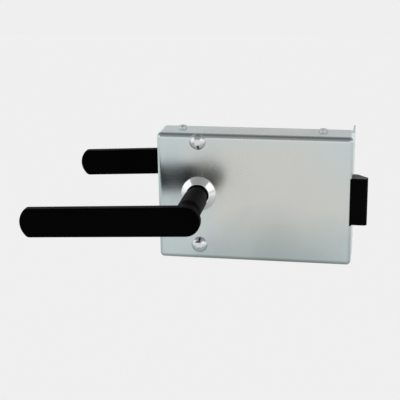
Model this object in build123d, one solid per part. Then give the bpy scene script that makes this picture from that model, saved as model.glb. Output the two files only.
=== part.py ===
from build123d import *
import math
import os

# Surface-mounted fire door latch, in millimetres.
# X runs towards the latch bolt, Z is up, and Y runs from the room into the door.
# The origin is on the spindle axis, in the plane where the case meets the door face.

# Case
case_width = 158.0
case_height = 107.0
case_depth = 27.0
sheet = 1.5
bend_radius = 4.0
spindle_from_hinge_side = 34.0
spindle_above_middle = 3.5
forend_depth = 43.0
corner_radius = 3.5
back_thickness = 2.0
back_gap = 0.2
cut_over = 1.0

# Door that the latch is made for
door_thickness = 40.0

# Clearances
running_gap = 0.06
fit_gap = 0.3
thread_gap = 0.05

# Latch bolt
bolt_height = 39.0
bolt_middle_z = -3.0
bolt_thickness = 12.5
bolt_tip_thickness = 4.0
bolt_projection = 12.0
bolt_inside_length = 32.0
bolt_front_gap = 1.1
bolt_notch_wrap = 2.0
bolt_bevel_start = 3.5
bolt_nose = 1.6
bolt_nose_fillet = 0.8
bolt_rivet_radius = 2.0
bolt_rivet_low = -3.0
bolt_rivet_high = 7.0
rod_socket_depth = 8.0

# Tail that the follower's arm pulls
tail_thickness = 3.0
tail_slot_depth = 12.0
tail_neck_rise = 11.0
tail_neck_fall = 7.0
ear_length = 10.0
ear_above_hub = 5.0
slot_slack = 5.0
slot_above_arm = 1.4
bar_above_arm = 6.4
bar_drop = 3.0
bar_run = 16.0
bar_slope_run = 16.0
bar_web = 4.0

# Lever handles
grip_height = 23.6
grip_thickness = 9.0
grip_drop = 3.2
grip_reach = 132.4
grip_end_radius = 15.4
grip_corner_radius = 1.2
grip_edge_radius = 1.6
neck_radius = 9.6
neck_taper_length = 8.0
lever_projection = 63.0
rest_droop = 2.9
snout_radius = 8.1
snout_length = 10.5
spigot_radius = 7.2
spigot_root = 6.0
stem_radius = 7.2
spindle_side = 8.0
spindle_socket_depth = 34.0
core_wall = 4.0
core_skin = 2.4
grub_radius = 2.5
grub_length = 5.2
grub_from_shoulder = 12.0
grub_socket_radius = 1.4
grub_socket_depth = 2.0
spindle_end_gap = 1.0
spindle_chamfer = 0.6

# Collar, rose and bearings
collar_base_radius = 14.3
collar_front_radius = 9.4
collar_height = 4.5
collar_lip = 0.9
collar_fillet = 0.7
collar_tail_radius = 10.5
collar_nut_radius = 15.0
collar_nut_thickness = 3.0
rose_radius = 22.0
rose_thickness = 3.5
rose_hole_radius = 2.1
rose_hole_spacing = 32.0
rose_fillet = 1.5
washer_thickness = 0.5
washer_rim = 0.7
circlip_thickness = 1.2
circlip_depth = 1.0
circlip_rim = 2.2
circlip_mouth = 4.8
circlip_land = 1.0
circlip_gap = 0.4

# Follower and its travel
swing_degrees = 35.0
arm_tip_radius = 4.0
arm_width = 5.0
arm_thickness = 6.0
follower_gap = 1.4
follower_radius = 12.0
barrel_gap = 1.2
journal_radius = 8.0
bush_radius = 10.5
bush_flange = 1.6
bush_flange_rim = 2.5
stop_lug_reach = 25.0
stop_lug_width = 8.0
stop_pin_radius = 2.5
stop_circle_radius = 21.0
stop_pin_lead = 1.0

# Fixings
pillar_radius = 4.2
pillar_drill_past = 2.0
dome_screw_inset = 6.0
dome_head_radius = 6.9
dome_head_height = 4.4
dome_head_rim = 0.2
dome_socket_radius = 2.9
dome_socket_depth = 2.2
dome_thread_radius = 3.0
dome_screw_length = 12.0
edge_screw_left_inset = 18.0
edge_screw_right_inset = 25.0
edge_screw_radius = 2.0
edge_head_radius = 3.7
edge_head_height = 1.6
edge_head_fillet = 0.7
edge_cross_reach = 1.7
edge_cross_half = 0.4
edge_cross_depth = 0.9
edge_screw_length = 8.0
edge_screw_depth_share = 0.8
lug_width = 14.0
lug_height = 10.0
lug_thickness = 4.0
fixing_hole_radius = 2.7
fixing_inset_x = 11.0
fixing_inset_z = 10.0
forend_hole_radius = 2.6
forend_hole_inset = 15.0
rivet_radius = 1.6
rivet_head_rim = 1.6
rivet_head_height = 1.4
rivet_head_fillet = 0.6

# Brackets and the stud on the back plate
abutment_behind_bolt = 42.0
abutment_thickness = 3.0
abutment_margin = 1.4
abutment_foot = 14.0
abutment_rivet_inset = 8.0
guide_behind_forend = 16.0
guide_thickness = 3.0
guide_margin = 7.0
guide_foot = 13.0
stud_behind_bolt = 34.0
stud_above_bolt_middle = 2.0
stud_radius = 3.0
stud_shoulder = 2.0
stud_lead = 1.0
stud_slot_slack = 1.5
stud_groove_depth = 0.8
stud_groove_gap = 0.6
stud_groove_width = 1.0
stud_clip_rim = 2.6
stud_clip_mouth = 3.2

# Springs
return_wire = 2.0
return_inner_radius = 12.6
return_leg_past_post = 3.0
return_leg_root = 0.5
return_hook_side = 0.6
return_hook_root = 0.8
return_hook_gap = 3.0
spring_post_radius = 2.0
spring_post_x = -19.0
spring_post_z = 4.0
bolt_spring_radius = 4.6
bolt_spring_wire = 1.0
spring_end_gap = 0.2
spring_rod_radius = 2.6
spring_rod_above_bottom = 6.0
spring_rod_past_abutment = 8.0
rod_running_gap = 0.1

# Planes and corners that follow from the driving sizes
left = -spindle_from_hinge_side
right = left + case_width
top = case_height / 2 - spindle_above_middle
bottom = top - case_height
front = -case_depth
inner_front = front + sheet
back_inner = -back_thickness
lap_end = front + forend_depth
bolt_travel = bolt_projection
bolt_top = bolt_middle_z + bolt_height / 2
bolt_bottom = bolt_middle_z - bolt_height / 2
bolt_front = inner_front + bolt_front_gap
bolt_back = bolt_front + bolt_thickness
bolt_tip = right + bolt_projection
bolt_heel = right - bolt_inside_length
follower_front = (inner_front + collar_nut_thickness + circlip_thickness + circlip_land + circlip_gap
                  + follower_gap)
follower_back = follower_front + arm_thickness
arm_middle_y = (follower_front + follower_back) / 2
tail_front = arm_middle_y - tail_thickness / 2
tail_back = arm_middle_y + tail_thickness / 2
half_swing = swing_degrees / 2
arm_radius = bolt_travel / (2 * math.sin(math.radians(half_swing)))
bend_inside = bend_radius - sheet
pillar_chamfer = 0.7 * bend_inside
pillar_z = top - dome_screw_inset
abutment_x = bolt_heel - abutment_behind_bolt
guide_x = right - sheet - guide_behind_forend
stud_x = bolt_heel - stud_behind_bolt
stud_z = bolt_middle_z + stud_above_bolt_middle
stud_groove_y = (tail_front - stud_groove_gap - stud_groove_width, tail_front - stud_groove_gap)


def block(x0, x1, y0, y1, z0, z1):
    centre = Pos((x0 + x1) / 2, (y0 + y1) / 2, (z0 + z1) / 2)
    return centre * Box(x1 - x0, y1 - y0, z1 - z0)


def rod_y(x, z, radius, y0, y1):
    return Pos(x, (y0 + y1) / 2, z) * Rot(90, 0, 0) * Cylinder(radius, abs(y1 - y0))


def rod_x(y, z, radius, x0, x1):
    return Pos((x0 + x1) / 2, y, z) * Rot(0, 90, 0) * Cylinder(radius, abs(x1 - x0))


def rod_z(x, y, radius, z0, z1):
    return Pos(x, y, (z0 + z1) / 2) * Cylinder(radius, abs(z1 - z0))


def ring_y(x, z, outer, inner, y0, y1):
    return rod_y(x, z, outer, y0, y1) - rod_y(x, z, inner, y0 - cut_over, y1 + cut_over)


def hexagon_y(x, z, corner_radius, y0, y1):
    return Pos(x, (y0 + y1) / 2, z) * Rot(90, 0, 0) * extrude(
        RegularPolygon(corner_radius, 6), (y1 - y0) / 2, both=True)


def plate_xz(face, y0, y1):
    # a flat outline drawn in X and Z, given its thickness along Y
    solid = extrude(face, amount=y1 - y0)
    return Pos(0, y0, 0) * Rot(90, 0, 0) * mirror(solid, about=Plane.XY)


def turned(solid, degrees):
    # turn about the spindle axis, positive as the lever is pressed down
    return Rot(0, -degrees, 0) * solid


def polar_xz(radius, degrees_from_up):
    # positive degrees lean towards the latch bolt
    angle = math.radians(degrees_from_up)
    return radius * math.sin(angle), radius * math.cos(angle)


def edge_screw_x():
    return [left + edge_screw_left_inset, right - edge_screw_right_inset]


def edge_screw_y():
    return front + edge_screw_depth_share * case_depth


def fixing_points():
    xs = [left + fixing_inset_x, right - fixing_inset_x]
    zs = [bottom + fixing_inset_z, top - fixing_inset_z]
    return [(x, z) for x in xs for z in zs]


def closed_box(inset, y_end, fold):
    # box with rounded upright corners and a rounded front, set in from the case's outside
    box = block(left + inset, right - inset, front + inset, y_end, bottom + inset, top - inset)
    box = fillet(box.edges().filter_by(Axis.Y), corner_radius - inset)
    return fillet(box.faces().sort_by(Axis.Y)[0].edges(), fold)


def case_cover():
    # folded sheet, its corners welded shut and ground round
    cover = closed_box(0, 0, bend_radius) - closed_box(sheet, cut_over, bend_inside)
    cover += block(right - sheet, right, -cut_over, lap_end, bottom, top)
    # opening for the latch bolt, wrapped round the bend
    cover -= block(right - bolt_notch_wrap, right + cut_over, front - cut_over, bolt_back + fit_gap,
                   bolt_bottom - fit_gap, bolt_top + fit_gap)
    cover -= rod_y(0, 0, collar_tail_radius + fit_gap, front - cut_over, inner_front + cut_over)
    for sign in (-1, 1):
        cover -= rod_y(0, sign * pillar_z, dome_thread_radius + fit_gap,
                       front - cut_over, inner_front + cut_over)
    wall_cut = sheet + cut_over
    for x in edge_screw_x():
        for z in (top, bottom):
            cover -= rod_z(x, edge_screw_y(), edge_screw_radius + fit_gap, z - wall_cut, z + wall_cut)
    for z in (bottom + forend_hole_inset, top - forend_hole_inset):
        cover -= rod_x(lap_end / 2, z, forend_hole_radius, right - wall_cut, right + wall_cut)
    return cover


def back_plate():
    inset = sheet + back_gap
    plate = block(left + inset, right - inset, back_inner, 0, bottom + inset, top - inset)
    plate = fillet(plate.edges().filter_by(Axis.Y), corner_radius - inset)
    # lugs that take the screws through the top and bottom walls
    for x in edge_screw_x():
        for z_wall, inward in ((top - inset, -1), (bottom + inset, 1)):
            z0, z1 = sorted((z_wall, z_wall + inward * lug_thickness))
            plate += block(x - lug_width / 2, x + lug_width / 2, -lug_height, back_inner, z0, z1)
            plate -= rod_z(x, edge_screw_y(), edge_screw_radius + thread_gap, z0 - cut_over, z1 + cut_over)
    plate -= rod_y(0, 0, bush_radius + thread_gap, back_inner - cut_over, cut_over)
    for x, z in fixing_points():
        plate -= rod_y(x, z, fixing_hole_radius, back_inner - cut_over, cut_over)
    for x, z in rivet_points():
        plate -= rod_y(x, z, rivet_radius + thread_gap, back_inner - cut_over, cut_over)
    return plate


def pillar(sign):
    z = sign * pillar_z
    body = rod_y(0, z, pillar_radius, inner_front, back_inner)
    body = chamfer(body.faces().sort_by(Axis.Y)[0].edges(), pillar_chamfer)
    body += rod_y(0, z, rivet_radius, back_inner, 0)
    return body - rod_y(0, z, dome_thread_radius + thread_gap, inner_front - cut_over,
                        front + dome_screw_length + pillar_drill_past)


def dome_screw(sign):
    # button head with a hexagon socket
    z = sign * pillar_z
    crown = front - dome_head_height
    sphere_radius = (dome_head_radius ** 2 + dome_head_height ** 2) / (2 * dome_head_height)
    ball = Pos(0, crown + sphere_radius, z) * Sphere(sphere_radius)
    head = ball & rod_y(0, z, dome_head_radius - dome_head_rim, crown - cut_over, front)
    head -= hexagon_y(0, z, dome_socket_radius, crown - cut_over, crown + dome_socket_depth)
    return head + rod_y(0, z, dome_thread_radius, front, front + dome_screw_length)


def edge_screws(z_wall, outward):
    screws = []
    for x in edge_screw_x():
        y = edge_screw_y()
        head = rod_z(x, y, edge_head_radius, z_wall, z_wall + outward * edge_head_height)
        rim = head.faces().sort_by(Axis.Z)[-1 if outward > 0 else 0].edges()
        head = fillet(rim, edge_head_fillet)
        crown = z_wall + outward * edge_head_height
        z0, z1 = sorted((crown - outward * edge_cross_depth, crown + outward * cut_over))
        for across, along in ((edge_cross_reach, edge_cross_half), (edge_cross_half, edge_cross_reach)):
            head -= block(x - across, x + across, y - along, y + along, z0, z1)
        shank = rod_z(x, y, edge_screw_radius, z_wall, z_wall - outward * edge_screw_length)
        screws.append(head + shank)
    return Compound(children=screws)


def cone_y(radius0, radius1, y0, y1):
    # radius0 at y0, radius1 at y1
    return Pos(0, (y0 + y1) / 2, 0) * Rot(-90, 0, 0) * Cone(radius0, radius1, y1 - y0)


def front_collar():
    # a low bright cone on a short upright lip
    mouth = front - collar_height
    cone = cone_y(collar_front_radius, collar_base_radius, mouth, front - collar_lip)
    cone += rod_y(0, 0, collar_base_radius, front - collar_lip, front)
    cone = fillet(cone.edges().filter_by(GeomType.CIRCLE).sort_by(Axis.Y)[0:2], collar_fillet)
    tail_end = inner_front + collar_nut_thickness
    tail = rod_y(0, 0, collar_tail_radius, front, tail_end)
    bore = rod_y(0, 0, spigot_radius + running_gap, mouth - cut_over, tail_end + cut_over)
    return cone + tail - bore


def collar_nut():
    y0, y1 = inner_front, inner_front + collar_nut_thickness
    nut = hexagon_y(0, 0, collar_nut_radius, y0, y1)
    return nut - rod_y(0, 0, collar_tail_radius + thread_gap, y0 - cut_over, y1 + cut_over)


def rear_rose():
    y0, y1 = door_thickness, door_thickness + rose_thickness
    disc = rod_y(0, 0, rose_radius, y0, y1)
    disc = fillet(disc.faces().sort_by(Axis.Y)[-1].edges(), rose_fillet)
    disc -= rod_y(0, 0, spigot_radius + running_gap, y0 - cut_over, y1 + cut_over)
    for sign in (-1, 1):
        disc -= rod_y(0, sign * rose_hole_spacing / 2, rose_hole_radius, y0 - cut_over, y1 + cut_over)
    return disc


def grip_outline():
    # flat view of a lever seen from its own front, pointing to -X
    low, high = -grip_drop - grip_height / 2, -grip_drop + grip_height / 2
    middle = (low + high) / 2
    half = grip_height / 2
    sag = grip_end_radius - math.sqrt(grip_end_radius ** 2 - half ** 2)
    tip = -grip_reach
    outline = Polyline((0, high), (tip + sag, high))
    outline += ThreePointArc((tip + sag, high), (tip, middle), (tip + sag, low))
    outline += Polyline((tip + sag, low), (0, low))
    outline += ThreePointArc((0, low), (half, middle), (0, high))
    face = make_face(outline)
    corners = face.vertices().sort_by(Axis.X)[0:2]
    return fillet(corners, grip_corner_radius)


def lever(seat_y, side):
    # moulded cover; side is -1 for the lever in the room and 1 for the one beyond the door
    y0, y1 = grip_planes(seat_y, side)
    grip = plate_xz(grip_outline(), y0, y1)
    rims = grip.faces().sort_by(Axis.Y)
    grip = fillet(rims[0].edges() + rims[-1].edges(), grip_edge_radius)
    inner_y = y1 if side < 0 else y0
    taper_y = inner_y - side * neck_taper_length
    neck_end = grip_height / 2 - grip_drop
    shoulder_y = seat_y + side * snout(side)
    neck = rod_y(0, 0, neck_radius, *sorted((shoulder_y, taper_y)))
    neck += rod_y(0, 0, snout_radius, *sorted((seat_y, taper_y)))
    if side < 0:
        neck += cone_y(neck_end, neck_radius, inner_y, taper_y)
    else:
        neck += cone_y(neck_radius, neck_end, taper_y, inner_y)
    neck += rod_y(0, 0, neck_end, *sorted((inner_y, (y0 + y1) / 2)))
    cover = grip + neck - core_body(seat_y, 0, side, thread_gap)
    cover -= rod_z(0, grub_y(seat_y, side), grub_radius + thread_gap, -neck_radius - cut_over, 0)
    return turned(cover, rest_droop)


def core_body(seat_y, spigot_length, side, swell):
    # steel that stays when the moulding burns: a round stem and a flat bar in the grip
    y0, y1 = grip_planes(seat_y, side)
    spigot_ends = sorted((seat_y - side * (spigot_length + swell), seat_y + side * (spigot_root + swell)))
    stem = rod_y(0, 0, spigot_radius + swell, *spigot_ends)
    stem += rod_y(0, 0, stem_radius + swell, *sorted((seat_y, (y0 + y1) / 2 + side * swell)))
    half = grip_height / 2 - core_wall + swell
    bar = block(-grip_reach + 2 * core_wall - swell, 0, y0 + core_skin - swell, y1 - core_skin + swell,
                -grip_drop - half, -grip_drop + half)
    return stem + bar


def lever_core(seat_y, spigot_length, side):
    core = core_body(seat_y, spigot_length, side, 0)
    half = spindle_side / 2 + running_gap
    y0, y1 = sorted((seat_y - side * (spigot_length + cut_over), seat_y + side * spindle_socket_depth))
    core -= block(-half, half, y0, y1, -half, half)
    groove = groove_y(seat_y, spigot_length, side)
    core -= ring_y(0, 0, spigot_radius + cut_over, spigot_radius - circlip_depth, *groove)
    core -= rod_z(0, grub_y(seat_y, side), grub_radius + thread_gap, -neck_radius - cut_over, 0)
    return turned(core, rest_droop)


def grip_planes(seat_y, side):
    face_y = seat_y + side * grip_standoff(side)
    return sorted((face_y, face_y - side * grip_thickness))


def snout(side):
    # only the room-side lever has a narrower snout between its shoulder and its seat
    return snout_length if side < 0 else 0.0


def grip_standoff(side):
    # from the seat to the outer face of the grip; the shoulder to the face is the same on both levers
    return lever_projection - collar_height - washer_thickness - snout(-1) + snout(side)


def front_seat():
    return front - collar_height - washer_thickness


def rear_seat():
    return door_thickness + rose_thickness + washer_thickness


def front_spigot():
    bore_length = inner_front + collar_nut_thickness - front_seat()
    return bore_length + circlip_gap + circlip_thickness + circlip_land


def rear_spigot():
    return rose_thickness + washer_thickness + circlip_gap + circlip_thickness + circlip_land


def groove_y(seat_y, spigot_length, side):
    end = seat_y - side * spigot_length
    return sorted((end + side * circlip_land, end + side * (circlip_land + circlip_thickness)))


def grub_y(seat_y, side):
    return seat_y + side * (snout(side) + grub_from_shoulder)


def circlip(seat_y, spigot_length, side):
    y0, y1 = groove_y(seat_y, spigot_length, side)
    ring = ring_y(0, 0, spigot_radius + circlip_rim, spigot_radius - circlip_depth + thread_gap,
                  y0 + thread_gap, y1 - thread_gap)
    mouth = block(-circlip_mouth / 2, circlip_mouth / 2, y0 - cut_over, y1 + cut_over,
                  -spigot_radius - circlip_rim - cut_over, 0)
    return turned(ring - mouth, rest_droop)


def thrust_washer(seat_y, side):
    y0, y1 = sorted((seat_y, seat_y - side * washer_thickness))
    seat_radius = snout_radius if side < 0 else neck_radius
    return ring_y(0, 0, seat_radius + washer_rim, spigot_radius + running_gap, y0, y1)


def grub_screws():
    screws = []
    for seat_y, side in ((front_seat(), -1), (rear_seat(), 1)):
        y = grub_y(seat_y, side)
        tip_z = -spindle_side / 2 - thread_gap
        screw = rod_z(0, y, grub_radius, tip_z - grub_length, tip_z)
        recess = Pos(0, y, tip_z - grub_length) * extrude(
            RegularPolygon(grub_socket_radius, 6), grub_socket_depth, both=True)
        screws.append(turned(screw - recess, rest_droop))
    return Compound(children=screws)


def spindle():
    half = spindle_side / 2
    y0 = front_seat() - spindle_socket_depth + spindle_end_gap
    y1 = rear_seat() + spindle_socket_depth - spindle_end_gap
    bar = block(-half, half, y0, y1, -half, half)
    ends = bar.faces().sort_by(Axis.Y)
    bar = chamfer(ends[0].edges() + ends[-1].edges(), spindle_chamfer)
    return turned(bar, rest_droop)


def follower():
    y0, y1 = follower_front, follower_back
    hub_back = back_inner - bush_flange - fit_gap
    hub = rod_y(0, 0, follower_radius, y0, y1)
    barrel = rod_y(0, 0, return_inner_radius - barrel_gap, y1, hub_back)
    journal = rod_y(0, 0, journal_radius, hub_back, -back_gap)
    tip_x, tip_z = polar_xz(arm_radius, half_swing)
    arm = block(-arm_width / 2, arm_width / 2, y0, y1, 0, arm_radius)
    arm = turned(arm, -half_swing) + rod_y(tip_x, tip_z, arm_tip_radius, y0, y1)
    lug = turned(block(-stop_lug_width / 2, stop_lug_width / 2, y0, y1, -stop_lug_reach, 0), -half_swing)
    body = hub + barrel + journal + arm + lug
    half = spindle_side / 2 + running_gap
    return body - turned(block(-half, half, y0 - cut_over, cut_over, -half, half), rest_droop)


def follower_bush():
    flange = rod_y(0, 0, bush_radius + bush_flange_rim, back_inner - bush_flange, back_inner)
    sleeve = rod_y(0, 0, bush_radius, back_inner, 0)
    bore = rod_y(0, 0, journal_radius + running_gap, back_inner - bush_flange - cut_over, cut_over)
    return flange + sleeve - bore


def stop_pin_points():
    # each pin clears the lug's flank by the fit gap at its end of the swing
    offset = stop_lug_width / 2 + stop_pin_radius + fit_gap
    lead = half_swing + math.degrees(math.asin(offset / stop_circle_radius))
    return [polar_xz(stop_circle_radius, 180 + sign * lead) for sign in (-1, 1)]


def pin_with_rivet(x, z, radius, y_end):
    return rod_y(x, z, radius, y_end, back_inner) + rod_y(x, z, rivet_radius, back_inner, 0)


def stop_pins():
    y_end = follower_front - stop_pin_lead
    return Compound(children=[pin_with_rivet(x, z, stop_pin_radius, y_end)
                              for x, z in stop_pin_points()])


def spring_post():
    return pin_with_rivet(spring_post_x, spring_post_z, spring_post_radius, follower_back)


def return_spring():
    # torsion spring round the follower barrel, one leg to the post, one to the stop lug
    outer = return_inner_radius + return_wire
    y0 = follower_back + fit_gap
    room = back_inner - bush_flange - 2 * fit_gap - y0
    y1 = y0 + (room // return_wire - 1) * return_wire
    coil = ring_y(0, 0, outer, return_inner_radius, y0, y1)
    wire = return_wire / 2
    mid = return_inner_radius + wire
    leg_z = spring_post_z - spring_post_radius - wire - fit_gap
    leg = rod_x(y1 - wire, leg_z, wire, spring_post_x - return_leg_past_post, -mid + return_leg_root)
    hook = rod_z(-mid * return_hook_side, y0 + wire, wire, -stop_lug_reach + return_hook_gap,
                 -mid * return_hook_root)
    return coil + leg + hook


def slot_left():
    tip_x, _ = polar_xz(arm_radius, half_swing)
    return tip_x - arm_tip_radius - fit_gap


def bolt_tail():
    slot_x0 = slot_left()
    slot_x1 = slot_x0 + 2 * arm_tip_radius + slot_slack
    ear_x0 = slot_x0 - ear_length
    bar_top = arm_radius + arm_tip_radius + bar_above_arm
    slot_top = arm_radius + arm_tip_radius + slot_above_arm
    ear_low = follower_radius + ear_above_hub
    bar_low = ear_low - bar_drop
    end_x = bolt_heel + tail_slot_depth
    neck_top, neck_low = bolt_middle_z + tail_neck_rise, bolt_middle_z - tail_neck_fall
    slope_x = slot_x1 + bar_run
    web_x = slope_x + bar_web
    outline = Polyline(
        (ear_x0, bar_top), (slope_x, bar_top), (slope_x + bar_slope_run, neck_top), (end_x, neck_top),
        (end_x, neck_low), (web_x, neck_low), (web_x, bar_low), (slot_x1, bar_low),
        (slot_x1, slot_top), (slot_x0, slot_top), (slot_x0, ear_low), (ear_x0, ear_low), close=True)
    face = make_face(outline)
    tail = plate_xz(face, tail_front, tail_back)
    x0, x1 = stud_slot()
    tail -= block(x0, x1, tail_front - cut_over, tail_back + cut_over,
                  stud_z - stud_radius - running_gap, stud_z + stud_radius + running_gap)
    for x, z in bolt_rivet_points():
        tail -= rod_y(x, z, bolt_rivet_radius + thread_gap, tail_front - cut_over, tail_back + cut_over)
    return tail


def stud_slot():
    reach = stud_radius + stud_slot_slack
    return stud_x - reach, stud_x + reach + bolt_travel


def bolt_rivet_points():
    x = bolt_heel + tail_slot_depth / 2
    return [(x, bolt_middle_z + offset) for offset in (bolt_rivet_low, bolt_rivet_high)]


def bolt_head():
    # plan outline in X and Y: square front, bevel on the door side
    plan = Polyline(
        (bolt_heel, bolt_front), (bolt_tip - bolt_nose, bolt_front),
        (bolt_tip, bolt_front + bolt_nose), (bolt_tip, bolt_front + bolt_tip_thickness),
        (right + bolt_bevel_start, bolt_back), (bolt_heel, bolt_back), close=True)
    face = make_face(plan)
    head = Pos(0, 0, bolt_bottom) * extrude(face, amount=bolt_height)
    head = fillet(head.edges().filter_by(Axis.Z).sort_by(Axis.X)[-3:], bolt_nose_fillet)
    slot_y0, slot_y1 = tail_front - thread_gap, tail_back + thread_gap
    head -= block(bolt_heel - cut_over, bolt_heel + tail_slot_depth + fit_gap, slot_y0, slot_y1,
                  bolt_middle_z - tail_neck_fall - thread_gap,
                  bolt_middle_z + tail_neck_rise + thread_gap)
    for x, z in bolt_rivet_points():
        head -= rod_y(x, z, bolt_rivet_radius + thread_gap, bolt_front - cut_over, bolt_back + cut_over)
    head -= rod_x(spring_rod_y(), spring_rod_z(), spring_rod_radius + thread_gap,
                  bolt_heel - cut_over, bolt_heel + rod_socket_depth)
    return head


def bolt_rivets():
    rivets = [rod_y(x, z, bolt_rivet_radius, bolt_front, bolt_back) for x, z in bolt_rivet_points()]
    return Compound(children=rivets)


def spring_rod_y():
    return (bolt_front + bolt_back) / 2


def spring_rod_z():
    return bolt_bottom + spring_rod_above_bottom


def spring_rod():
    tail_end = abutment_x - spring_rod_past_abutment
    return rod_x(spring_rod_y(), spring_rod_z(), spring_rod_radius, tail_end,
                 bolt_heel + rod_socket_depth)


def bolt_spring():
    y, z = spring_rod_y(), spring_rod_z()
    x0, x1 = abutment_x + abutment_thickness + spring_end_gap, bolt_heel - spring_end_gap
    return rod_x(y, z, bolt_spring_radius, x0, x1) - rod_x(
        y, z, bolt_spring_radius - bolt_spring_wire, x0 - cut_over, x1 + cut_over)


def spring_abutment():
    y, z = spring_rod_y(), spring_rod_z()
    x0, x1 = abutment_x, abutment_x + abutment_thickness
    half = bolt_spring_radius + abutment_margin
    upright = block(x0, x1, y - half, back_inner, z - half, z + half)
    foot = block(x0, x1 + abutment_foot, back_inner - abutment_thickness, back_inner, z - half, z + half)
    bracket = upright + foot - rod_x(y, z, spring_rod_radius + rod_running_gap,
                                     x0 - cut_over, x1 + cut_over)
    return bracket - rivet_hole(*abutment_rivet_point(), abutment_thickness)


def rivet_hole(x, z, foot_thickness):
    return rod_y(x, z, rivet_radius + thread_gap, back_inner - foot_thickness - cut_over,
                 back_inner + cut_over)


def bolt_guide():
    # bracket whose window guides the bolt head; it stands on the back plate
    z0, z1 = bolt_bottom - guide_margin, bolt_top + guide_margin
    wall = block(guide_x, guide_x + guide_thickness, inner_front + fit_gap, back_inner, z0, z1)
    wall -= block(guide_x - cut_over, guide_x + guide_thickness + cut_over, front, bolt_back + running_gap,
                  bolt_bottom - running_gap, bolt_top + running_gap)
    foot = block(guide_x - guide_foot, guide_x, back_inner - guide_thickness, back_inner, z0, z1)
    bracket = wall + foot
    for x, z in guide_rivet_points():
        bracket -= rivet_hole(x, z, guide_thickness)
    return bracket


def guide_rivet_points():
    x = guide_x - guide_foot / 2
    return [(x, bolt_bottom), (x, bolt_top)]


def abutment_rivet_point():
    return abutment_x + abutment_thickness + abutment_rivet_inset, spring_rod_z()


def headed_rivet(x, z, foot_thickness):
    y = back_inner - foot_thickness
    shank = rod_y(x, z, rivet_radius, y, 0)
    head = rod_y(x, z, rivet_radius + rivet_head_rim, y - rivet_head_height, y)
    return shank + fillet(head.faces().sort_by(Axis.Y)[0].edges(), rivet_head_fillet)


def bracket_rivets():
    rivets = [headed_rivet(x, z, guide_thickness) for x, z in guide_rivet_points()]
    rivets.append(headed_rivet(*abutment_rivet_point(), abutment_thickness))
    return Compound(children=rivets)


def guide_stud():
    shoulder = rod_y(stud_x, stud_z, stud_radius + stud_shoulder, tail_back + running_gap, back_inner)
    y0, y1 = stud_groove_y
    pin = rod_y(stud_x, stud_z, stud_radius, y0 - stud_lead, tail_back + cut_over)
    stud = shoulder + pin + rod_y(stud_x, stud_z, rivet_radius, back_inner, 0)
    return stud - ring_y(stud_x, stud_z, stud_radius + cut_over, stud_radius - stud_groove_depth, y0, y1)


def stud_clip():
    y0, y1 = stud_groove_y
    rim = stud_radius + stud_clip_rim
    ring = ring_y(stud_x, stud_z, rim, stud_radius - stud_groove_depth + thread_gap,
                  y0 + thread_gap, y1 - thread_gap)
    return ring - block(stud_x, stud_x + rim + cut_over, y0 - cut_over, y1 + cut_over,
                        stud_z - stud_clip_mouth / 2, stud_z + stud_clip_mouth / 2)


def rivet_points():
    # holes in the back plate for everything riveted to it
    points = stop_pin_points() + guide_rivet_points()
    points += [(spring_post_x, spring_post_z), abutment_rivet_point(), (stud_x, stud_z)]
    return points + [(0, -pillar_z), (0, pillar_z)]


nodes = {
    "case_cover": case_cover(),
    "back_plate": back_plate(),
    "pillar_upper": pillar(1),
    "pillar_lower": pillar(-1),
    "dome_screw_upper": dome_screw(1),
    "dome_screw_lower": dome_screw(-1),
    "edge_screws_top": edge_screws(top, 1),
    "edge_screws_bottom": edge_screws(bottom, -1),
    "front_collar": front_collar(),
    "collar_nut": collar_nut(),
    "rear_rose": rear_rose(),
    "front_lever": lever(front_seat(), -1),
    "front_lever_core": lever_core(front_seat(), front_spigot(), -1),
    "rear_lever": lever(rear_seat(), 1),
    "rear_lever_core": lever_core(rear_seat(), rear_spigot(), 1),
    "front_circlip": circlip(front_seat(), front_spigot(), -1),
    "rear_circlip": circlip(rear_seat(), rear_spigot(), 1),
    "front_washer": thrust_washer(front_seat(), -1),
    "rear_washer": thrust_washer(rear_seat(), 1),
    "grub_screws": grub_screws(),
    "spindle": spindle(),
    "follower": follower(),
    "follower_bush": follower_bush(),
    "stop_pins": stop_pins(),
    "spring_post": spring_post(),
    "return_spring": return_spring(),
    "bolt_head": bolt_head(),
    "bolt_tail": bolt_tail(),
    "bolt_rivets": bolt_rivets(),
    "spring_rod": spring_rod(),
    "bolt_spring": bolt_spring(),
    "spring_abutment": spring_abutment(),
    "bolt_guide": bolt_guide(),
    "bracket_rivets": bracket_rivets(),
    "guide_stud": guide_stud(),
    "stud_clip": stud_clip(),
}

os.makedirs("parts", exist_ok=True)
for name, shape in nodes.items():
    export_step(shape, f"parts/{name}.step")
    print(name, round(shape.volume), "mm3")
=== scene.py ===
import math
import bpy
import bmesh
from mathutils import Matrix, Vector


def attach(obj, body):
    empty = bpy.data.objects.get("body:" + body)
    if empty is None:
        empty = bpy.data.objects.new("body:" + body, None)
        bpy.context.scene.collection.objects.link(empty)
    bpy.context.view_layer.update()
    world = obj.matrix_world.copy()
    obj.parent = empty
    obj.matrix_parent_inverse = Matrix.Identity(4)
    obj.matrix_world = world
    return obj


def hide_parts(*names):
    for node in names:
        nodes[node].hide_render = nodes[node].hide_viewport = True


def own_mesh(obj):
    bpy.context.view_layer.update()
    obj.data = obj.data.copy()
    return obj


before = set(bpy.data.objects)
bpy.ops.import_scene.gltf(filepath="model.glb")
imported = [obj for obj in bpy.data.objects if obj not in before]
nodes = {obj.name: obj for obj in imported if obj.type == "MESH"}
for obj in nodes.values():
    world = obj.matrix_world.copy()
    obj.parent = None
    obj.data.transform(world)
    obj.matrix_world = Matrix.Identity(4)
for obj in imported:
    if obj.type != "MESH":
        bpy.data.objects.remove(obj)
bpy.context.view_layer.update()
print("frame loaded:", len(nodes), "nodes")


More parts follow.
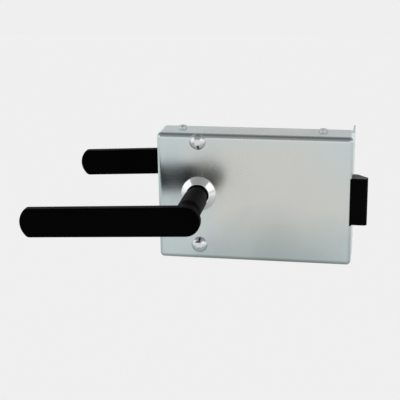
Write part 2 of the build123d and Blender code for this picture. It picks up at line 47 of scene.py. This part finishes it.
# Shader sockets as values: wires add their Math nodes by plain arithmetic
class Wire:
    def __init__(self, board, socket):
        self.board = board
        self.socket = socket

    def __add__(self, other):
        return self.board.math("ADD", self, other)

    def __sub__(self, other):
        return self.board.math("SUBTRACT", self, other)

    def __mul__(self, other):
        return self.board.math("MULTIPLY", self, other)

    def __radd__(self, other):
        return self.board.math("ADD", other, self)

    def __rsub__(self, other):
        return self.board.math("SUBTRACT", other, self)

    def __rmul__(self, other):
        return self.board.math("MULTIPLY", other, self)


class Board:
    def __init__(self, tree):
        self.tree = tree

    def node(self, kind, settings=None, output=0, **values):
        made = self.tree.nodes.new(kind)
        for key, value in (settings or {}).items():
            if key == "stops":
                self.stops(made.color_ramp, value)
            else:
                setattr(made, key, value)
        for key, value in values.items():
            self.feed(self.find(made, key), value)
        return Wire(self, made.outputs[output]) if len(made.outputs) else made

    def find(self, made, key):
        # inputs are named in camelCase, or inN for the Nth one
        if key.startswith("in") and key[2:].isdigit():
            return made.inputs[int(key[2:])]
        for socket in made.inputs:
            if socket.enabled and socket.name.replace(" ", "").lower() == key.lower():
                return socket
        raise KeyError(made.bl_idname + " has no input " + key)

    def feed(self, socket, value):
        if isinstance(value, Wire):
            self.tree.links.new(value.socket, socket)
        else:
            socket.default_value = value

    def stops(self, ramp, stops):
        # each stop is a place and a grey
        while len(ramp.elements) < len(stops):
            ramp.elements.new(0.5)
        for element, (place, grey) in zip(ramp.elements, stops):
            element.position = place
            element.color = (grey, grey, grey, 1)

    def math(self, operation, *values):
        feeds = {"in" + str(i): value for i, value in enumerate(values)}
        return self.node("ShaderNodeMath", {"operation": operation}, **feeds)

    def vectors(self, operation, *values, output="Value"):
        feeds = {"in" + str(i): value for i, value in enumerate(values)}
        return self.node("ShaderNodeVectorMath", {"operation": operation}, output, **feeds)

    def place(self, scale=(1, 1, 1), shift=(0, 0, 0)):
        spot = self.node("ShaderNodeTexCoord", output="Object")
        return self.node("ShaderNodeMapping", vector=spot, location=shift, scale=scale)

    def noise(self, vector, scale, detail, roughness, distortion=0.0):
        return self.node("ShaderNodeTexNoise", vector=vector, scale=scale, detail=detail,
                         roughness=roughness, distortion=distortion)

    def span(self, value, low, high, toLow=0.0, toHigh=1.0):
        return self.node("ShaderNodeMapRange", {"clamp": True}, value=value, fromMin=low, fromMax=high,
                         toMin=toLow, toMax=toHigh)

    def mixColour(self, share, first, second):
        # for colours, the Mix node has inputs 6 and 7 and output 2, counted from 0
        return self.node("ShaderNodeMix", {"data_type": "RGBA"}, 2, in0=share, in6=first, in7=second)

    def bump(self, height, strength, distance):
        return self.node("ShaderNodeBump", height=height, strength=strength, distance=distance)


def finish(name, build, **constants):
    # one Principled material: build returns the varying sockets, constants sit on the shader
    material = bpy.data.materials.new(name)
    material.use_nodes = True
    board = Board(material.node_tree)
    shader = material.node_tree.nodes["Principled BSDF"]
    for key, value in {**constants, **build(board)}.items():
        board.feed(board.find(shader, key), value)
    return material


# Plated sheet: steel under bright zinc, neutral in the middle, cooler at its ends, with painted shade low
# down
sheetLook = dict(
    # painted shade: the darker colour and the two spots below darken the plate low down, one to the lower
    # right and one under the lower dome screw
    clear=(0.660, 0.665, 0.630, 1), cool=(0.600, 0.680, 0.690, 1), dull=(0.380, 0.440, 0.430, 1),
    middle=(0.060, 0.0, 0.006), middleLift=1.4, middleInner=0.046, middleOuter=0.090,
    dullSpots=[dict(centre=(0.064, 0.0, -0.064), reach=0.078, share=0.95),
               dict(centre=(0.002, 0.0, -0.060), reach=0.030, share=0.45)],
    dullLift=1.25,
    clouds=dict(scale=15.0, detail=3.0, roughness=0.5, distortion=0.4), cloudMiddle=0.5, cloudSway=0.06,
    grain=dict(scale=2600.0, detail=3.0, roughness=0.6), grainStretch=(0.2, 1, 1),
    grainMiddle=0.5, grainShare=0.5, grainDepth=0.000004,
    smear=dict(scale=34.0, detail=3.0, roughness=0.6), smearStretch=(1, 1, 0.3),
    wave=dict(scale=16.0, detail=1.0, roughness=0.4), waveDepth=0.00005,
    rough=dict(low=0.35, high=0.7, toLow=0.19, toHigh=0.28))


def sheetBuild(board):
    look = sheetLook
    spot = board.place()
    sway = (board.noise(spot, **look["clouds"]) - look["cloudMiddle"]) * look["cloudSway"]

    def away(centre, lift):
        # distance in the plane of the front, stretched upright by lift
        flat = board.vectors("MULTIPLY", spot, (1, 0, lift), output="Vector")
        return board.vectors("DISTANCE", flat, (centre[0], 0, centre[2] * lift)) + sway

    ends = board.span(away(look["middle"], look["middleLift"]), look["middleInner"], look["middleOuter"])
    colour = board.mixColour(ends, look["clear"], look["cool"])
    # painted shade: each spot mixes the plate colour towards the darker colour near its centre
    for shadeSpot in look["dullSpots"]:
        paintedShadeMask = board.span(away(shadeSpot["centre"], look["dullLift"]), shadeSpot["reach"], 0.0)
        colour = board.mixColour(paintedShadeMask * shadeSpot["share"], colour, look["dull"])
    grain = board.noise(board.place(look["grainStretch"]), **look["grain"])
    smear = board.noise(board.place(look["smearStretch"]), **look["smear"])
    rough = board.span(smear + (grain - look["grainMiddle"]) * look["grainShare"], **look["rough"])
    height = board.noise(spot, **look["wave"]) * look["waveDepth"] + grain * look["grainDepth"]
    normal = board.bump(height, strength=1.0, distance=1.0)
    return dict(baseColor=colour, roughness=rough, normal=normal)


# Turned, cut or cast metal: fine grain, light stains and a little unevenness in its gloss
metalWear = dict(grain=dict(detail=4.0, roughness=0.6), grainShare=0.5,
                 stain=dict(detail=3.0, roughness=0.55, distortion=0.3), stainShift=(0.2, 0.5, 0.1),
                 stainFrom=0.42, stainTo=0.72, glossFrom=0.35, glossTo=0.65)
metals = {
    "plateZinc": dict(colour=(0.58, 0.60, 0.62, 1), stain=(0.50, 0.54, 0.58, 1), grainScale=500,
                      stainScale=22, roughLow=0.26, roughHigh=0.40, grit=0.3, depth=0.00003),
    "collarZinc": dict(colour=(0.88, 0.89, 0.88, 1), stain=(0.82, 0.85, 0.85, 1), grainScale=300,
                       stainScale=40, stretch=(1, 6, 1), roughLow=0.07, roughHigh=0.13, grit=0.10,
                       depth=0.00001),
    "screwZinc": dict(colour=(0.76, 0.78, 0.78, 1), stain=(0.66, 0.70, 0.72, 1), grainScale=700,
                      stainScale=120, roughLow=0.14, roughHigh=0.24, grit=0.2, depth=0.00002),
    "turnedSteel": dict(colour=(0.50, 0.51, 0.53, 1), stain=(0.40, 0.40, 0.40, 1), grainScale=900,
                        stainScale=60, stretch=(1, 5, 1), roughLow=0.24, roughHigh=0.36, grit=0.25,
                        depth=0.00002),
    "springWire": dict(colour=(0.36, 0.36, 0.38, 1), stain=(0.26, 0.25, 0.24, 1), grainScale=900,
                       stainScale=90, roughLow=0.22, roughHigh=0.34, grit=0.2, depth=0.00002),
    "sinteredHub": dict(colour=(0.40, 0.40, 0.41, 1), stain=(0.30, 0.29, 0.28, 1), grainScale=1500,
                        stainScale=70, roughLow=0.38, roughHigh=0.52, grit=0.5, depth=0.00005),
}


def metalBuild(look):
    def build(board):
        wear = metalWear
        grain = board.noise(board.place(look.get("stretch", (1, 1, 1))), look["grainScale"], **wear["grain"])
        stain = board.noise(board.place(shift=wear["stainShift"]), look["stainScale"], **wear["stain"])
        stained = board.span(stain, wear["stainFrom"], wear["stainTo"])
        uneven = grain * wear["grainShare"] + stain * (1 - wear["grainShare"])
        rough = board.span(uneven, wear["glossFrom"], wear["glossTo"], look["roughLow"], look["roughHigh"])
        return dict(baseColor=board.mixColour(stained, look["colour"], look["stain"]), roughness=rough,
                    normal=board.bump(grain, look["grit"], look["depth"]))
    return build


# Mouldings and coatings: a fine even texture, slightly shinier where they rub
mouldWear = dict(grit=dict(detail=3.0, roughness=0.6), rub=dict(detail=2.0, roughness=0.5),
                 rubShift=(0.4, 0.2, 0.6), wornFrom=0.4, wornTo=0.75, glossFrom=0.35, glossTo=0.7)
mouldings = {
    "blackMoulding": dict(colour=(0.0010, 0.0010, 0.0011, 1), worn=(0.0018, 0.0018, 0.0019, 1),
                          gritScale=1600, rubScale=18, roughLow=0.30, roughHigh=0.42, grit=0.25,
                          depth=0.00003, shader=dict(specularIorLevel=0.014)),
    "blackBolt": dict(colour=(0.0010, 0.0010, 0.0011, 1), worn=(0.0020, 0.0020, 0.0021, 1),
                      gritScale=1300, rubScale=40, roughLow=0.18, roughHigh=0.26, grit=0.15, depth=0.00002,
                      shader=dict(specularIorLevel=0.020, sheenWeight=0.80, sheenRoughness=0.30)),
    "nylon": dict(colour=(0.66, 0.64, 0.56, 1), worn=(0.60, 0.57, 0.48, 1), gritScale=900, rubScale=60,
                  roughLow=0.38, roughHigh=0.50, grit=0.2, depth=0.00003,
                  shader=dict(specularIorLevel=0.5)),
}


def mouldBuild(look):
    def build(board):
        wear = mouldWear
        grit = board.noise(board.place(), look["gritScale"], **wear["grit"])
        rub = board.noise(board.place(shift=wear["rubShift"]), look["rubScale"], **wear["rub"])
        worn = board.span(rub, wear["wornFrom"], wear["wornTo"])
        rough = board.span(rub, wear["glossFrom"], wear["glossTo"], look["roughHigh"], look["roughLow"])
        return dict(baseColor=board.mixColour(worn, look["colour"], look["worn"]), roughness=rough,
                    normal=board.bump(grit, look["grit"], look["depth"]))
    return build


finishes = {"sheetZinc": finish("sheetZinc", sheetBuild, metallic=1.0)}
for name, look in metals.items():
    finishes[name] = finish(name, metalBuild(look), metallic=1.0)
for name, look in mouldings.items():
    finishes[name] = finish(name, mouldBuild(look), **look["shader"])

# Which nodes wear which finish: the rest are turned steel
wears = {
    "sheetZinc": ["case_cover"],
    "plateZinc": ["back_plate", "spring_abutment", "bolt_guide", "bolt_tail", "rear_rose"],
    "collarZinc": ["front_collar"],
    "screwZinc": ["dome_screw_upper", "dome_screw_lower", "edge_screws_top", "edge_screws_bottom"],
    "blackMoulding": ["front_lever", "rear_lever", "front_washer", "rear_washer"],
    "blackBolt": ["bolt_head", "bolt_rivets"],
    "nylon": ["follower_bush"],
    "springWire": ["return_spring", "bolt_spring"],
    "sinteredHub": ["follower"],
}
wearOf = {node: name for name, members in wears.items() for node in members}
for node, piece in nodes.items():
    piece.data.materials.clear()
    piece.data.materials.append(finishes[wearOf.get(node, "turnedSteel")])
print("finishes:", len(finishes))


def newPiece(name, mesh):
    data = bpy.data.meshes.new(name)
    mesh.to_mesh(data)
    mesh.free()
    piece = bpy.data.objects.new(name, data)
    bpy.context.scene.collection.objects.link(piece)
    return piece


def applied(name, piece):
    # the piece's shape with its modifiers worked in, as a fresh object at the origin
    graph = bpy.context.evaluated_depsgraph_get()
    data = bpy.data.meshes.new_from_object(piece.evaluated_get(graph))
    bpy.data.objects.remove(piece)
    data.name = name
    fresh = bpy.data.objects.new(name, data)
    bpy.context.scene.collection.objects.link(fresh)
    return fresh


# Lever covers: a flat grip on a round neck, moulded in one with a soft root where they meet
leverLook = dict(reach=0.1324, height=0.0236, drop=0.0032, thick=0.009, edge=0.0017, edgeSegments=4,
                 tipRadius=0.0154, tipSteps=12, tipCorner=0.0012, tipSegments=6, heelSteps=24,
                 neckRadius=0.0096, neckTaper=0.008, neckSegments=64, snoutRadius=0.0081, droop=2.9,
                 voxel=0.0006, rootReach=0.006, rootOverlap=0.001, rootPasses=24, softPasses=2,
                 softShare=0.5, seatBand=0.0012, same=1e-6, grubHole=0.00255, grubSegments=32,
                 grubFromShoulder=0.012, grubMiddle=-0.010, grubDepth=0.008)
leverEnds = {"front_lever": dict(seat=-0.032, shoulder=-0.0425, outer=-0.090),
             "rear_lever": dict(seat=0.044, shoulder=0.044, outer=0.0915)}


def gripShell(mesh, outer, inner):
    look = leverLook
    half = look["height"] / 2
    middle = -look["drop"]
    tipX = -look["reach"]
    sag = look["tipRadius"] - math.sqrt(look["tipRadius"] ** 2 - half ** 2)
    sweep = 2 * math.asin(half / look["tipRadius"])
    first = mesh.verts.new((tipX + sag, outer, middle + half))
    tip = bmesh.ops.spin(mesh, geom=[first], angle=-sweep, steps=look["tipSteps"], axis=(0, 1, 0),
                         cent=(tipX + look["tipRadius"], outer, middle))["geom_last"][0]
    heel = mesh.verts.new((0, outer, middle - half))
    crown = bmesh.ops.spin(mesh, geom=[heel], angle=-math.pi, steps=look["heelSteps"], axis=(0, 1, 0),
                           cent=(0, outer, middle))["geom_last"][0]
    mesh.edges.new((tip, heel))
    mesh.edges.new((crown, first))
    bmesh.ops.contextual_create(mesh, geom=mesh.edges[:])
    bmesh.ops.bevel(mesh, geom=[first, tip], affect="VERTICES", offset=look["tipCorner"],
                    segments=look["tipSegments"], profile=0.5, material=-1)
    raised = bmesh.ops.extrude_face_region(mesh, geom=mesh.faces[:])["geom"]
    verts = [g for g in raised if isinstance(g, bmesh.types.BMVert)]
    bmesh.ops.translate(mesh, verts=verts, vec=(0, inner - outer, 0))
    bmesh.ops.recalc_face_normals(mesh, faces=mesh.faces[:])
    rims = [e for e in mesh.edges if abs(e.verts[0].co.y - e.verts[1].co.y) < look["same"]]
    bmesh.ops.bevel(mesh, geom=rims, affect="EDGES", offset=look["edge"], segments=look["edgeSegments"],
                    profile=0.5, material=-1)


def neckShell(mesh, seat, shoulder, inner, outer):
    look = leverLook
    way = 1 if inner > seat else -1
    rootRadius = look["height"] / 2 - look["drop"]
    rings = [(shoulder, look["neckRadius"]), (inner - way * look["neckTaper"], look["neckRadius"]),
             (inner, rootRadius), ((inner + outer) / 2, rootRadius)]
    if seat != shoulder:
        rings = [(seat, look["snoutRadius"]), (shoulder, look["snoutRadius"])] + rings
    radius = rings[0][1]
    foot = bmesh.ops.create_circle(mesh, cap_ends=True, segments=look["neckSegments"], radius=radius)["verts"]
    bmesh.ops.rotate(mesh, verts=foot, cent=(0, 0, 0), matrix=Matrix.Rotation(math.pi / 2, 3, "X"))
    bmesh.ops.translate(mesh, verts=foot, vec=(0, seat, 0))
    cap = [f for f in mesh.faces if all(v in foot for v in f.verts)]
    for y, wide in rings[1:]:
        raised = bmesh.ops.extrude_face_region(mesh, geom=cap)["geom"]
        rim = [g for g in raised if isinstance(g, bmesh.types.BMVert)]
        cap = [g for g in raised if isinstance(g, bmesh.types.BMFace)]
        bmesh.ops.translate(mesh, verts=rim, vec=(0, y - rim[0].co.y, 0))
        bmesh.ops.scale(mesh, verts=rim, vec=(wide / radius, 1, wide / radius))
        radius = wide


def oneSkin(node, mesh):
    # grip and neck overlap, so a fine voxel remesh makes them one closed skin
    piece = newPiece(node + "_rough", mesh)
    remesh = piece.modifiers.new("skin", "REMESH")
    remesh.mode = "VOXEL"
    remesh.voxel_size = leverLook["voxel"]
    piece = applied(node + "_skin", piece)
    mesh = bmesh.new()
    mesh.from_mesh(piece.data)
    bpy.data.objects.remove(piece)
    bmesh.ops.recalc_face_normals(mesh, faces=mesh.faces[:])
    return mesh


def soften(mesh, verts, passes):
    for _ in range(passes):
        bmesh.ops.smooth_vert(mesh, verts=verts, factor=leverLook["softShare"],
                              use_axis_x=True, use_axis_y=True, use_axis_z=True)


def softenLever(mesh, seat, inner, outer, way):
    # the root where the neck meets the grip is softened most, and the neck's seat not at all
    look = leverLook
    nearRoot = look["neckRadius"] + look["rootReach"]
    root = [v for v in mesh.verts
            if abs(v.co.y - inner) < look["rootReach"] and math.hypot(v.co.x, v.co.z) < nearRoot
            and (v.co.y - outer) * way < -look["thick"] + look["rootOverlap"]]
    soften(mesh, root, look["rootPasses"])
    body = [v for v in mesh.verts if abs(v.co.y - seat) > look["seatBand"]]
    soften(mesh, body, look["softPasses"])


def grubCutter(shoulder, way):
    look = leverLook
    mesh = bmesh.new()
    bmesh.ops.create_cone(mesh, cap_ends=True, segments=look["grubSegments"], radius1=look["grubHole"],
                          radius2=look["grubHole"], depth=look["grubDepth"])
    spot = (0, shoulder + way * look["grubFromShoulder"], look["grubMiddle"])
    bmesh.ops.translate(mesh, verts=mesh.verts, vec=spot)
    return newPiece("grubCutter", mesh)


def drilled(node, mesh, cutter):
    piece = newPiece(node + "_solid", mesh)
    drill = piece.modifiers.new("grubHole", "BOOLEAN")
    drill.operation = "DIFFERENCE"
    drill.object = cutter
    drill.solver = "EXACT"
    piece = applied(node + "_cover", piece)
    bpy.data.objects.remove(cutter)
    return piece


def makeLever(node, seat, shoulder, outer):
    way = 1 if outer > seat else -1
    inner = outer - way * leverLook["thick"]
    mesh = bmesh.new()
    gripShell(mesh, outer, inner)
    neckShell(mesh, seat, shoulder, inner, outer)
    bmesh.ops.recalc_face_normals(mesh, faces=mesh.faces[:])
    mesh = oneSkin(node, mesh)
    softenLever(mesh, seat, inner, outer, way)
    piece = drilled(node, mesh, grubCutter(shoulder, way))
    piece.data.transform(Matrix.Rotation(math.radians(-leverLook["droop"]), 4, "Y"))
    piece.data.shade_smooth()
    piece.data.materials.clear()
    piece.data.materials.append(finishes["blackMoulding"])
    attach(piece, "handles")
    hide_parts(node)
    print(node, "cover:", len(piece.data.polygons), "faces")


for node, ends in leverEnds.items():
    makeLever(node, **ends)


# Bolt spring: a coil between its abutment and the bolt
springLook = dict(start=0.0532, end=0.0918, y=-0.01815, z=-0.0165, outer=0.0046, wire=0.001, turns=9,
                  stepsPerTurn=20, wireSegments=10, travel=0.012)


def makeBoltSpring():
    look = springLook
    wireRadius = look["wire"] / 2
    steps = look["turns"] * look["stepsPerTurn"]
    run = look["end"] - look["start"] - look["wire"]
    mesh = bmesh.new()
    section = bmesh.ops.create_circle(mesh, segments=look["wireSegments"], radius=wireRadius)["verts"]
    bmesh.ops.rotate(mesh, verts=section, cent=(0, 0, 0), matrix=Matrix.Rotation(math.pi / 2, 3, "X"))
    bmesh.ops.translate(mesh, verts=section, vec=(look["start"] + wireRadius, look["y"],
                                                  look["z"] + look["outer"] - wireRadius))
    bmesh.ops.spin(mesh, geom=mesh.verts[:] + mesh.edges[:], angle=math.tau * look["turns"], steps=steps,
                   axis=(1, 0, 0), cent=(0, look["y"], look["z"]), dvec=(run / steps, 0, 0))
    bmesh.ops.holes_fill(mesh, edges=[e for e in mesh.edges if e.is_boundary])
    bmesh.ops.recalc_face_normals(mesh, faces=mesh.faces[:])
    piece = newPiece("bolt_spring_coil", mesh)
    piece.data.shade_smooth()
    piece.data.materials.append(finishes["springWire"])
    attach(piece, "case")
    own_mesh(piece)
    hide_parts("bolt_spring")
    print("bolt spring:", len(piece.data.polygons), "faces")


makeBoltSpring()

# Camera at the photograph's viewing angle: a long lens above and to the right of the case
view = dict(aim=(0.044, -0.027, -0.004), lens=91.74, yaw=10.43, pitch=18.15, roll=-1.08,
            distance=0.8248, slide=-0.0422, rise=0.0004, clipStart=0.01)


def setCamera():
    yaw, pitch, roll = (math.radians(view[k]) for k in ("yaw", "pitch", "roll"))
    back = Vector((math.sin(yaw) * math.cos(pitch), -math.cos(yaw) * math.cos(pitch), math.sin(pitch)))
    flatRight = Vector((math.cos(yaw), math.sin(yaw), 0))
    flatUp = back.cross(flatRight)
    right = flatRight * math.cos(roll) + flatUp * math.sin(roll)
    up = flatUp * math.cos(roll) - flatRight * math.sin(roll)
    camera = bpy.data.objects.new("camera", bpy.data.cameras.new("camera"))
    bpy.context.scene.collection.objects.link(camera)
    camera.data.lens = view["lens"]
    camera.data.clip_start = view["clipStart"]
    spot = Vector(view["aim"]) + back * view["distance"] + right * view["slide"] + up * view["rise"]
    turn = Matrix((right, up, back)).transposed().to_4x4()
    camera.matrix_world = Matrix.Translation(spot) @ turn
    bpy.context.scene.camera = camera


setCamera()

# Studio floor: pale paper that glows for the camera, and for mirrors glows less in a painted shadow beneath
# the part
floorLook = dict(z=-0.36, size=6.0, colour=(0.80, 0.80, 0.80, 1), fleck=(0.83, 0.83, 0.83, 1),
                 flecks=dict(scale=3.0, detail=2.0, roughness=0.55), glow=0.96, glowShare=0.85,
                 belowInner=0.10, belowOuter=2.00, belowGlow=0.42, belowDepth=2.2)


def floorPaper():
    look = floorLook
    material = bpy.data.materials.new("floorPaper")
    material.use_nodes = True
    material.node_tree.nodes.clear()
    board = Board(material.node_tree)
    flecks = board.noise(board.place(), **look["flecks"])
    matte = board.node("ShaderNodeBsdfDiffuse", color=board.mixColour(flecks, look["colour"], look["fleck"]))
    toCamera = board.node("ShaderNodeLightPath", output="Is Camera Ray")
    inMirror = board.node("ShaderNodeLightPath", output="Is Glossy Ray")
    # painted shadow: for glossy rays the glow is cut to under half beneath the part and rises to full two
    # metres out
    reach = board.vectors("LENGTH", board.place((1, look["belowDepth"], 0)))
    away = board.span(reach, look["belowInner"], look["belowOuter"], look["belowGlow"], 1.0)
    strength = (away * (1 - toCamera) + toCamera) * look["glow"]
    glow = board.node("ShaderNodeEmission", color=(1, 1, 1, 1), strength=strength)
    share = board.math("MAXIMUM", toCamera, inMirror) * look["glowShare"]
    mixed = board.node("ShaderNodeMixShader", in0=share, in1=matte, in2=glow)
    board.node("ShaderNodeOutputMaterial", surface=mixed)
    return material


def makeFloor():
    mesh = bmesh.new()
    bmesh.ops.create_grid(mesh, x_segments=1, y_segments=1, size=floorLook["size"] / 2)
    bmesh.ops.translate(mesh, verts=mesh.verts, vec=(0, 0, floorLook["z"]))
    floor = newPiece("floor", mesh)
    floor.data.materials.append(floorPaper())


# Studio walls: bright low down, darker overhead, a dim patch to the front right and two bright panels
wallLook = dict(forCamera=0.86, lean=0.035,
                heights=[(0.0, 1.0), (0.25, 1.0), (0.31, 0.49), (0.36, 0.47), (0.46, 0.42), (0.70, 0.37),
                         (0.86, 0.30), (1.0, 0.16)],
                dimToward=(0.74, -0.62, -0.10), dimEdge=0.90, dimCore=0.99, dimDepth=0.45,
                panels=[(-0.845, -0.392, 0.362), (0.728, -0.604, 0.325)],
                panelEdge=0.945, panelCore=0.960, panelGlow=0.95)


def makeWalls():
    look = wallLook
    world = bpy.data.worlds.new("studio")
    bpy.context.scene.world = world
    world.use_nodes = True
    world.node_tree.nodes.clear()
    board = Board(world.node_tree)
    direction = board.node("ShaderNodeTexCoord", output="Generated")
    upward = board.node("ShaderNodeSeparateXYZ", output="Z", vector=direction)
    inward = board.node("ShaderNodeSeparateXYZ", output="Y", vector=direction)
    height = upward + inward * look["lean"]
    shade = board.node("ShaderNodeValToRGB", {"stops": look["heights"]}, fac=height)
    facing = board.vectors("DOT_PRODUCT", direction, look["dimToward"])
    shade = shade * (1 - board.span(facing, look["dimEdge"], look["dimCore"]) * look["dimDepth"])
    for panel in look["panels"]:
        facing = board.vectors("DOT_PRODUCT", direction, panel)
        glow = board.span(facing, look["panelEdge"], look["panelCore"]) * look["panelGlow"]
        shade = board.math("MAXIMUM", shade, glow)
    toCamera = board.node("ShaderNodeLightPath", output="Is Camera Ray")
    strength = shade * (1 - toCamera) + toCamera * look["forCamera"]
    light = board.node("ShaderNodeBackground", color=(1, 1, 1, 1), strength=strength)
    board.node("ShaderNodeOutputWorld", surface=light)


lamps = {
    "leftLamp": dict(spot=(-1.12, -0.52, 0.48), aim=(0, 0, 0), size=0.90, power=0.35),
    "rightLamp": dict(spot=(0.94, -0.78, 0.42), aim=(0, 0, 0), size=0.80, power=0.30),
}


def makeLamp(name, spot, aim, size, power):
    data = bpy.data.lights.new(name, "AREA")
    data.shape = "DISK"
    data.size = size
    data.energy = power
    lamp = bpy.data.objects.new(name, data)
    bpy.context.scene.collection.objects.link(lamp)
    toward = Vector(aim) - Vector(spot)
    turn = toward.to_track_quat("-Z", "Y").to_matrix().to_4x4()
    lamp.matrix_world = Matrix.Translation(spot) @ turn


makeFloor()
makeWalls()
for name, lamp in lamps.items():
    makeLamp(name, **lamp)
bpy.context.scene.view_settings.view_transform = "Standard"
print("studio ready")
